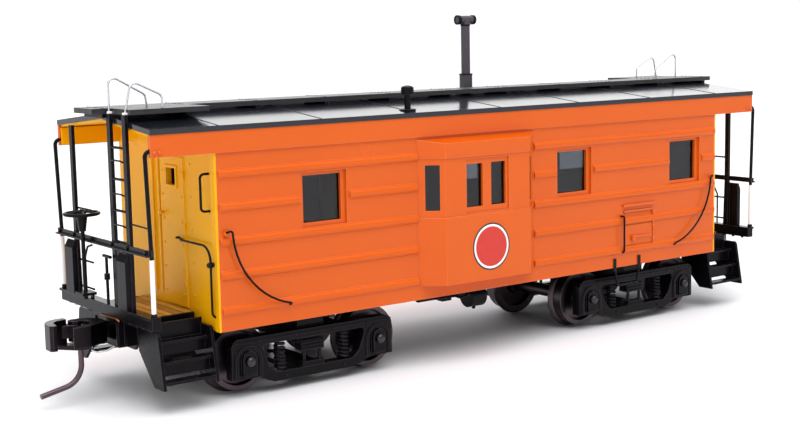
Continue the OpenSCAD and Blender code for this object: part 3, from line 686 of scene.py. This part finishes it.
postSettings = {"radius": 0.3, "bend": 0.9, "y": 15.2,
                "path": [(-61.7, 36.75), (-62.6, 36.85), (-62.2, 21.9)],
                "foot": [(0.34, 13.8), (0.45, 13.95), (0.45, 14.4), (0.3, 14.55)]}


def cornerPosts():
    s = postSettings
    ys = (-s["y"], s["y"])
    makeWires("corner_post_wires", turnPaths([[(x, y, z) for x, z in s["path"]] for y in ys]), s["radius"],
              s["bend"], blackAcetal, "car", ["corner_posts"])
    feet = [lathe(s["foot"], (s["path"][-1][0], y, 0), up, 16) for y in ys]
    makePiece("corner_post_feet", halfTurn(feet), blackAcetal, "car")


sideGrabSettings = {"wire": 0.17, "bend": 0.35, "out": 0.88, "x": 27.7, "low": 13.0, "high": 19.4,
                    "droop": 0.1}


def sideGrabs():
    s = sideGrabSettings
    y = -bodyHalfWidth - s["out"]
    staple = [(s["x"], sideRoot, s["low"] + s["droop"]), (s["x"], y, s["low"]), (s["x"], y, s["high"]),
              (s["x"], sideRoot, s["high"] - s["droop"])]
    makeWires("side_grab_wires", turnPaths([staple]), s["wire"], s["bend"], blackAcetal, "car",
              ["side_grabs"])


bentRungSettings = {
    "wire": 0.13, "bend": 0.4, "heights": (35.0, 30.3, 25.9),
    "rung": [(-62.25, -4.3, -0.35), (-62.7, -4.9, 0), (-62.7, -7.6, 0), (-62.25, -8.25, -0.3)],
    "rail": [(-62.25, -9.2, 26.3), (-62.3, -14.9, 26.2)],
}


def bentRungs():  # thin bent rungs between the straight ones of the end ladders
    s = bentRungSettings
    rungs = [[(x, y, z + dz) for x, y, dz in s["rung"]] for z in s["heights"]]
    makeWires("bent_rungs", turnPaths(rungs + [s["rail"]]), s["wire"], s["bend"], blackAcetal, "car")


sideRails()
endRails()
cornerPosts()
sideGrabs()
bentRungs()


# emblem on both bays
def emblems():
    s = emblemSettings
    disc = lathe([(s["black"], -0.02), (s["black"], s["thick"] * 0.6), (s["black"] - 0.03, s["thick"])],
                 (s["x"], -bodyHalfWidth - s["bay"], s["z"]), (0, -1, 0), 72)
    makePiece("bay_emblems", bothSides([disc]), printedRed, "car", smooth=20)


emblems()

# truck springs
springSettings = {"coil": 0.68, "wire": 0.24, "turns": 6.5, "foot": 2.72, "height": 3.95, "x": 5.7,
                  "y": 11.6}


def coilSprings(side, sign):
    s = springSettings
    places = [(sign * truckX + dx, dy, s["foot"]) for dx in (-s["x"], s["x"]) for dy in (-s["y"], s["y"])]
    mesh = bpy.data.meshes.new("spring places")
    mesh.from_pydata([spot(p) for p in places], [], [])
    values = {"Coil radius": s["coil"] * mm, "Wire": s["wire"] * mm, "Height": s["height"] * mm,
              "Turns": s["turns"], "Material": truckAcetal}
    grow("coil_springs_" + side, mesh, springs, values, "truck_" + side,
         ["truck_springs_" + side])


for side, sign in (("front", -1), ("rear", 1)):
    coilSprings(side, sign)

# fittings on the sides: eyelets at the handrail feet, the equipment doors' hardware, bumps on the fascias
sideFittingSettings = {
    "eyelets": [(-50.8, 24.4), (-40.5, 13.3), (50.8, 24.4), (40.5, 13.3)], "eyelet": (0.38, 0.5),
    "eyeletOut": 0.1,
    "hardware": [  # corners with y off the wall, then the edge
        ((35.45, -0.36, 13.6), (35.75, 0, 19.8), 0.08),
        ((30.4, -0.5, 15.25), (35.0, -0.05, 15.65), 0.08),
        ((30.0, -0.7, 14.8), (31.0, -0.05, 15.75), 0.15),
        ((28.55, -0.2, 19.45), (35.3, 0, 19.65), 0.05),
    ],
    "hinges": (14.4, 16.6, 19.2), "hinge": ((35.35, -0.45, 0), (35.9, -0.05, 0.5), 0.08),
    "bumpX": (61.3, 60.5), "bumpY": 15.57, "bumpZ": 36.5, "bump": (0.35, 0.2),
}


def sideFittings():
    s = sideFittingSettings
    out = bodyHalfWidth + s["eyeletOut"]
    eyelets = [((x, way * out, z), (0, way, 0)) for way in (-1, 1) for x, z in s["eyelets"]]
    makeHeads("rail_eyelets", eyelets, *s["eyelet"], 10, orangeEnamel, "car", "orange_paint", 0.7)
    blocks = list(s["hardware"])
    for dz in s["hinges"]:
        (x0, y0, z0), (x1, y1, z1), edge = s["hinge"]
        blocks.append(((x0, y0, z0 + dz), (x1, y1, z1 + dz), edge))
    door = [slab((a[0], a[1] - bodyHalfWidth, a[2]), (b[0], b[1] - bodyHalfWidth, b[2]), edge)
            for a, b, edge in blocks]
    makePiece("door_hardware", halfTurn(door), orangeEnamel, "car")
    bumps = [((x * end, way * s["bumpY"], s["bumpZ"]), (0, way, 0)) for x in s["bumpX"] for end in (-1, 1)
             for way in (-1, 1)]
    makeHeads("fascia_bumps", bumps, *s["bump"], 10, orangeEnamel, "car", "orange_paint", 0.6)


sideFittings()

# fittings on the ends: door knob and trim, end-sill bolts and nuts beneath, rivets in the sheets, short rungs
endFittingSettings = {
    "out": 0.2, "knobAt": (1.05, 26.1),
    "knob": [(0.2, 0), (0.2, 0.4), (0.42, 0.5), (0.45, 0.7), (0.3, 0.85)],
    "trim": [((-3.8, 29.95), (-3.4, 33.35)), ((-0.6, 29.95), (-0.2, 33.35)),
             ((-3.4, 32.9), (-0.6, 33.35)), ((-3.4, 29.95), (-0.6, 30.4))],  # corners in y and z
    "trimThick": 0.22, "hingeY": (-5.75, -5.2), "hingeZ": (15.5, 24.0, 31.6), "hingeThick": 0.2,
    "nutY": (-13.6, -11.4, -9.3, -7.2, -5.2, 5.2, 7.2, 9.3, 11.4, 13.6), "nutZ": 12.05, "nutX": -62.0,
    "boltY": (-14.6, -8.8, -3.8, 3.0, 9.4, 14.6), "boltZ": 22.95, "boltX": -62.75, "bolt": (0.3, 0.28),
    "doorRivetY": (-4.9, 0.9), "doorRivetZ": (14.4, 18.0, 21.6, 25.2, 28.8, 32.4),
    "wallRivetY": (-13.4, -7.4, 6.2, 12.8), "wallRivetZ": (14.6, 19.4, 24.2, 29.0, 33.8),
    "spareRivetY": (-11.0, -9.4), "spareRivetZ": 30.4, "rivet": (0.2, 0.12), "sheet": 0.2,
    "rungWire": 0.16, "rungBend": 0.8, "rungX": -62.0, "rungY": (9.4, 4.6), "rungZ": (26.9, 19.1, 15.1),
    "chainWire": [(-62.0, 7.4, 14.0), (-62.0, 7.4, 19.6), (-62.0, 6.4, 21.3), (-62.0, 4.8, 21.7)],
}


def doorFittings():
    s = endFittingSettings
    face = -bodyHalfLength - s["out"]
    knob = lathe(s["knob"], (face, *s["knobAt"]), (-1, 0, 0), 16)
    makePiece("door_knobs", halfTurn([knob]), yellowEnamel, "car")
    trim = [slab((face - s["trimThick"], *lo), (face, *hi), 0.05) for lo, hi in s["trim"]]
    trim += [slab((face - s["hingeThick"], s["hingeY"][0], z), (face, s["hingeY"][1], z + 1.0), 0.06)
             for z in s["hingeZ"]]
    makePiece("door_trim", halfTurn(trim), yellowEnamel, "car")


def endFittings():
    s = endFittingSettings
    bolts = [((s["nutX"], y, s["nutZ"]), (0, 0, -1)) for y in s["nutY"]]
    bolts += [((s["boltX"], y, s["boltZ"]), (-1, 0, 0)) for y in s["boltY"]]
    makeHeads("end_bolts", turnPlaces(bolts), *s["bolt"], 8, blackAcetal, "car", "black_plastic", 0.75)
    face = -bodyHalfLength - s["out"]
    wall = face + s["sheet"]
    rivets = [((face, y, z), (-1, 0, 0)) for y in s["doorRivetY"] for z in s["doorRivetZ"]]
    rivets += [((wall, y, z), (-1, 0, 0)) for y in s["wallRivetY"] for z in s["wallRivetZ"]]
    rivets += [((wall, y, s["spareRivetZ"]), (-1, 0, 0)) for y in s["spareRivetY"]]
    makeHeads("end_rivets", turnPlaces(rivets), *s["rivet"], 8, yellowEnamel, "car", "yellow_paint", 0.6)
    rungs = [[(s["rungX"], y, z) for y in s["rungY"]] for z in s["rungZ"]]
    makeWires("end_rungs", turnPaths(rungs + [s["chainWire"]]), s["rungWire"], s["rungBend"], blackAcetal,
              "car", sides=10)


doorFittings()
endFittings()

brakeWheelSettings = {
    "z": 26.6, "rim": 2.45, "rimWire": 0.26, "spokeWire": 0.16, "spokeBend": 0.3,
    "spoke": [(0.3, 0.3), (1.3, 0.22), (2.4, 0.0)],  # out from the middle, above the rim
    "firstSpoke": 15, "spokeStep": 60,
    "hub": [(0.6, -0.2), (0.62, 0.1), (0.35, 0.35), (0.28, 0.6), (0.12, 0.66)],
}


def brakeWheel():
    s = brakeWheelSettings
    x, y = middleOf("brake_wheel")
    z = s["z"]

    def around(radius, degrees, lift):
        a = math.radians(degrees)
        return x + radius * math.cos(a), y + radius * math.sin(a), z + lift

    hoop = [around(s["rim"], degrees, 0) for degrees in range(0, 361, 9)]
    makeWires("brake_wheel_rim", [hoop], s["rimWire"], 0.0, blackAcetal, "car",
              ["brake_wheel"])
    spokes = [[around(radius, degrees, lift) for radius, lift in s["spoke"]]
              for degrees in range(s["firstSpoke"], 360, s["spokeStep"])]
    makeWires("brake_wheel_spokes", spokes, s["spokeWire"], s["spokeBend"], blackAcetal, "car",
              sides=8)
    makePiece("brake_wheel_hub", [lathe(s["hub"], (x, y, z), up, 20)], blackAcetal, "car")


brakeWheel()

stackSettings = {
    "steps": 32, "bevel": (0.15, 0.1),
    "collars": ((1.35, 40.9, 0.4), (1.25, 44.1, 0.2), (0.92, 52.7, 0.25)),  # radius, foot, height
    "headReach": 1.8, "headZ": 53.8,
    "head": [(0.74, -0.4), (0.84, -0.4), (0.84, 0.1), (0.6, 0.1), (0.55, -0.35)],
    "ventSteps": 24,
    "ventFoot": [(0.5, 39.9), (1.3, 39.95), (1.3, 40.15), (0.5, 40.35)],
    "ventCap": [(0.95, 43.4), (0.8, 43.65), (0.3, 43.8)],
}


def stackParts():
    # collars on the stack, hollow ends on its head, and the foot and cap of the small vent
    s = stackSettings
    inset, rise = s["bevel"]
    x, y = middleOf("smoke_stack")
    parts = []
    for r, z, h in s["collars"]:
        profile = [(r - inset, z), (r, z + rise), (r, z + h), (r - inset, z + h + rise)]
        parts.append(lathe(profile, (x, y, 0), up, s["steps"]))
    for way in (-1, 1):
        parts.append(lathe(s["head"], (x + way * s["headReach"], y, s["headZ"]), (way, 0, 0), s["steps"]))
    x, y = middleOf("roof_vent")
    parts += [lathe(profile, (x, y, 0), up, s["ventSteps"]) for profile in (s["ventFoot"], s["ventCap"])]
    makePiece("stack_collars", parts, blackAcetal, "car")


stackParts()

# couplers: the copper strip of the uncoupling lever, the loop wire below, ribs and a bolt on the draft boxes
couplerFittingSettings = {
    "stripWire": 0.16, "stripBend": 0.4,
    "strip": [(-62.72, 1.0, 12.0), (-62.75, -1.0, 12.05), (-62.75, -4.4, 12.1), (-62.5, -4.7, 11.8)],
    "loopWire": 0.17, "loopBend": 0.6,
    "loop": [(-61.8, -2.2, 7.9), (-63.4, -2.2, 7.3), (-64.4, -1.0, 7.0), (-64.6, 0.4, 7.0),
             (-64.0, 1.6, 7.2), (-61.8, 2.0, 7.9)],
    "frontRibX": (-62.6, -62.35), "frontRibY": (-3.6, 3.6), "frontRibHalf": 0.2, "frontRibZ": (8.0, 11.4),
    "sideRibX": (-61.6, -59.6, -57.6, -55.6), "sideRibWide": 0.5,
    "sideRibY": ((-4.12, -3.85), (3.85, 4.12)), "sideRibZ": (8.0, 11.5), "edge": 0.06,
    "bolt": [(1.1, 0), (1.1, 0.35), (0.8, 0.5)], "boltAt": (-57.5, 0, 7.85),
}


def couplerFittings():
    s = couplerFittingSettings
    makeWires("uncoupling_strip", turnPaths([s["strip"]]), s["stripWire"], s["stripBend"], copperStrip,
              "car", sides=8)
    makeWires("hose_loops", turnPaths([s["loop"]]), s["loopWire"], s["loopBend"], springWire, "car",
              sides=8)
    (x0, x1), (z0, z1) = s["frontRibX"], s["frontRibZ"]
    ribs = [slab((x0, y - s["frontRibHalf"], z0), (x1, y + s["frontRibHalf"], z1), s["edge"])
            for y in s["frontRibY"]]
    z0, z1 = s["sideRibZ"]
    ribs += [slab((x, y0, z0), (x + s["sideRibWide"], y1, z1), s["edge"]) for y0, y1 in s["sideRibY"]
             for x in s["sideRibX"]]
    ribs.append(lathe(s["bolt"], s["boltAt"], (0, 0, -1), 20))
    makePiece("draft_box_ribs", halfTurn(ribs), blackAcetal, "car")


couplerFittings()

# trucks: bosses and bolts on the journal lids and frames, ribs on the bolster ends, ridges along the frames
truckFittingSettings = {
    "journals": (-11.6, 11.6), "boss": [(0.72, 0), (0.7, 0.2), (0.5, 0.42), (0.2, 0.52)],
    "bossY": 13.4, "bossZ": 4.9,
    # blocks: corners on the side that faces +Y, then the edge
    "lip": ((-0.9, 13.0, 2.75), (0.9, 13.35, 3.15), 0.1),
    "band": ((-14.1, 12.5, 7.55), (14.1, 12.72, 7.85), 0.08),
    "step": ((-1.8, 11.9, 0), (1.8, 12.25, 0.2), 0.08), "stepZ": (4.9, 5.4, 5.9),
    "boltY": 12.65, "bolt": (0.22, 0.16),
    "journalBolts": [(x, z) for x in (-2.0, 2.0) for z in (2.7, 7.6)],
    "frameBolts": ((-7.6, 7.6), (7.6, 7.6), (-3.4, 7.6), (3.4, 7.6), (-5.2, 1.7), (5.2, 1.7)),
    "ridge": [(6.9, 2.5), (8.2, 3.6), (9.2, 6.4), (9.9, 7.25), (11.6, 7.6), (13.2, 7.1), (14.1, 5.6)],
    "ridgeY": 12.6, "ridgeWire": 0.12, "ridgeBend": 0.8,
}


def truckFittings(side, sign):
    s = truckFittingSettings
    middle = sign * truckX

    def block(shape, way, dx=0, dz=0):  # a block of the settings, on the side that faces way
        (x0, y0, z0), (x1, y1, z1), edge = shape
        y0, y1 = sorted((way * y0, way * y1))
        return slab((middle + dx + x0, y0, z0 + dz), (middle + dx + x1, y1, z1 + dz), edge)

    bolts, bosses, ribs = [], [], []
    for way in (-1, 1):
        for d in s["journals"]:
            bosses.append(lathe(s["boss"], (middle + d, way * s["bossY"], s["bossZ"]), (0, way, 0), 18))
            ribs.append(block(s["lip"], way, d))
            bolts += [((middle + d + dx, way * s["boltY"], z), (0, way, 0)) for dx, z in s["journalBolts"]]
        bolts += [((middle + dx, way * s["boltY"], z), (0, way, 0)) for dx, z in s["frameBolts"]]
        ribs += [block(s["step"], way, 0, z) for z in s["stepZ"]]
        ribs.append(block(s["band"], way))
    body = "truck_" + side
    makeHeads("frame_bolts_" + side, bolts, *s["bolt"], 8, truckAcetal, body, "black_plastic", 0.7)
    makePiece("frame_ribs_" + side, ribs, truckAcetal, body)
    makePiece("journal_bosses_" + side, bosses, highlightedBossAcetal, body)
    paths = [[(middle + end * dx, way * s["ridgeY"], z) for dx, z in s["ridge"]] for way in (-1, 1)
             for end in (-1, 1)]
    makeWires("frame_ridges_" + side, paths, s["ridgeWire"], s["ridgeBend"], truckAcetal, body,
              sides=8)


for side, sign in (("front", -1), ("rear", 1)):
    truckFittings(side, sign)

# the train pipe, cross pipes and levers below the floor
pipeSettings = {
    "wire": 0.22, "bend": 1.0,
    "paths": [[(-54.0, -2.9, 10.4), (-20.0, -2.9, 9.4), (20.0, -2.9, 9.4), (54.0, -2.9, 10.4)],
              [(-5.0, -8.6, 8.6), (-8.5, -10.6, 8.9), (-11.9, -10.6, 9.2), (-11.9, -8.4, 9.4)],
              [(1.2, -8.2, 8.6), (4.0, -5.4, 9.6), (18.0, -3.4, 9.9)],
              [(-2.4, -8.9, 9.0), (-2.4, -10.8, 9.2), (-4.6, -10.8, 8.4), (-4.6, -8.8, 8.6)]],
}
makeWires("brake_pipes", pipeSettings["paths"], pipeSettings["wire"], pipeSettings["bend"], blackAcetal,
          "car", sides=8)
print("trim made")

# studio
cameraSettings = {"place": (-0.144587, -0.183996, 0.053210), "azimuth": -36.395, "elevation": 7.684,
                  "roll": -1.081, "lens": 62.01, "sensor": 36.0}


def addCamera():
    s = cameraSettings
    az, el, roll = (math.radians(s[k]) for k in ("azimuth", "elevation", "roll"))
    back = Vector((math.sin(az) * math.cos(el), -math.cos(az) * math.cos(el), math.sin(el)))
    right = (-back).cross(Vector((0, 0, 1))).normalized()
    up = right.cross(-back)
    right, up = math.cos(roll) * right + math.sin(roll) * up, math.cos(roll) * up - math.sin(roll) * right
    data = bpy.data.cameras.new("camera")
    data.lens, data.sensor_width, data.sensor_fit = s["lens"], s["sensor"], "HORIZONTAL"
    data.clip_start, data.clip_end = 0.005, 20
    camera = bpy.data.objects.new("camera", data)
    camera.matrix_world = Matrix.Translation(s["place"]) @ Matrix((right, up, back)).transposed().to_4x4()
    bpy.context.scene.collection.objects.link(camera)
    bpy.context.scene.camera = camera


addCamera()

lightSettings = {
    "top": {"place": (-0.12, -0.42, 0.75), "size": 0.7, "power": 4.9},
    "back": {"place": (0.75, 1.05, 0.42), "size": 1.1, "power": 6.0},
    "front": {"place": (-0.35, -0.8, 0.3), "size": 0.5, "power": 0.35},
    "left": {"place": (-0.8, -0.1, 0.25), "size": 0.4, "power": 1.0},
}
skySettings = {"horizon": 1.15, "low": 0.22, "zenith": 1.6, "band": (0.02, 0.06), "over": (0.3, 0.9)}
floorSettings = {"half": 0.7, "fibre": 40.0, "colour": "#EDEDEF", "pale": "#F1F1F3"}


def addLights():
    for name, s in lightSettings.items():
        data = bpy.data.lights.new(name, "AREA")
        data.shape, data.size, data.energy = "SQUARE", s["size"], s["power"]
        lamp = bpy.data.objects.new(name, data)
        lamp.location = s["place"]
        lamp.rotation_euler = (Vector((0, 0, 0.02)) - Vector(s["place"])).to_track_quat("-Z", "Y").to_euler()
        bpy.context.scene.collection.objects.link(lamp)
    # a white tent: bright overhead, dimmer at the sides, a white band round the horizon
    s = skySettings
    world = bpy.data.worlds.new("studio")
    world.use_nodes = True
    tree = world.node_tree
    way = addNode(tree, "ShaderNodeTexCoord")
    apart = addNode(tree, "ShaderNodeSeparateXYZ", {0: way.outputs["Generated"]})
    near = addNode(tree, "ShaderNodeMapRange", {"Value": apart.outputs["Z"], "From Min": s["band"][0],
                                                "From Max": s["band"][1], "To Min": s["horizon"],
                                                "To Max": s["low"]})
    over = addNode(tree, "ShaderNodeMapRange", {"Value": apart.outputs["Z"], "From Min": s["over"][0],
                                                "From Max": s["over"][1], "To Min": 0.0,
                                                "To Max": s["zenith"] - s["low"]})
    both = addNode(tree, "ShaderNodeMath", {0: near.outputs[0], 1: over.outputs[0]}, operation="ADD")
    tree.nodes["Background"].inputs["Color"].default_value = linear("#FBFBFD")
    tree.links.new(both.outputs[0], tree.nodes["Background"].inputs["Strength"])
    bpy.context.scene.world = world


addLights()


def addFloor():
    s = floorSettings
    half = s["half"]
    mesh = bpy.data.meshes.new("floor")
    mesh.from_pydata([(x * half, y * half, 0) for x, y in ((-1, -1), (1, -1), (1, 1), (-1, 1))], [],
                     [[0, 1, 2, 3]])
    mat, tree, shader = startMaterial("studio paper", {"Roughness": 0.9, "Specular IOR Level": 0.1})
    fibre = addNode(tree, "ShaderNodeTexNoise", {"Vector": inMillimetres(tree, s["fibre"]),
                                                 "Scale": 1.0, "Detail": 2.0})
    tone = addNode(tree, "ShaderNodeMix", {0: fibre.outputs["Fac"], 6: linear(s["colour"]),
                                           7: linear(s["pale"])}, data_type="RGBA")
    tree.links.new(tone.outputs[2], shader.inputs["Base Color"])
    mesh.materials.append(mat)
    floor = bpy.data.objects.new("floor", mesh)
    bpy.context.scene.collection.objects.link(floor)


addFloor()
bpy.context.scene.view_settings.view_transform = "Standard"
bpy.context.scene.view_settings.look = "None"
print("studio set")
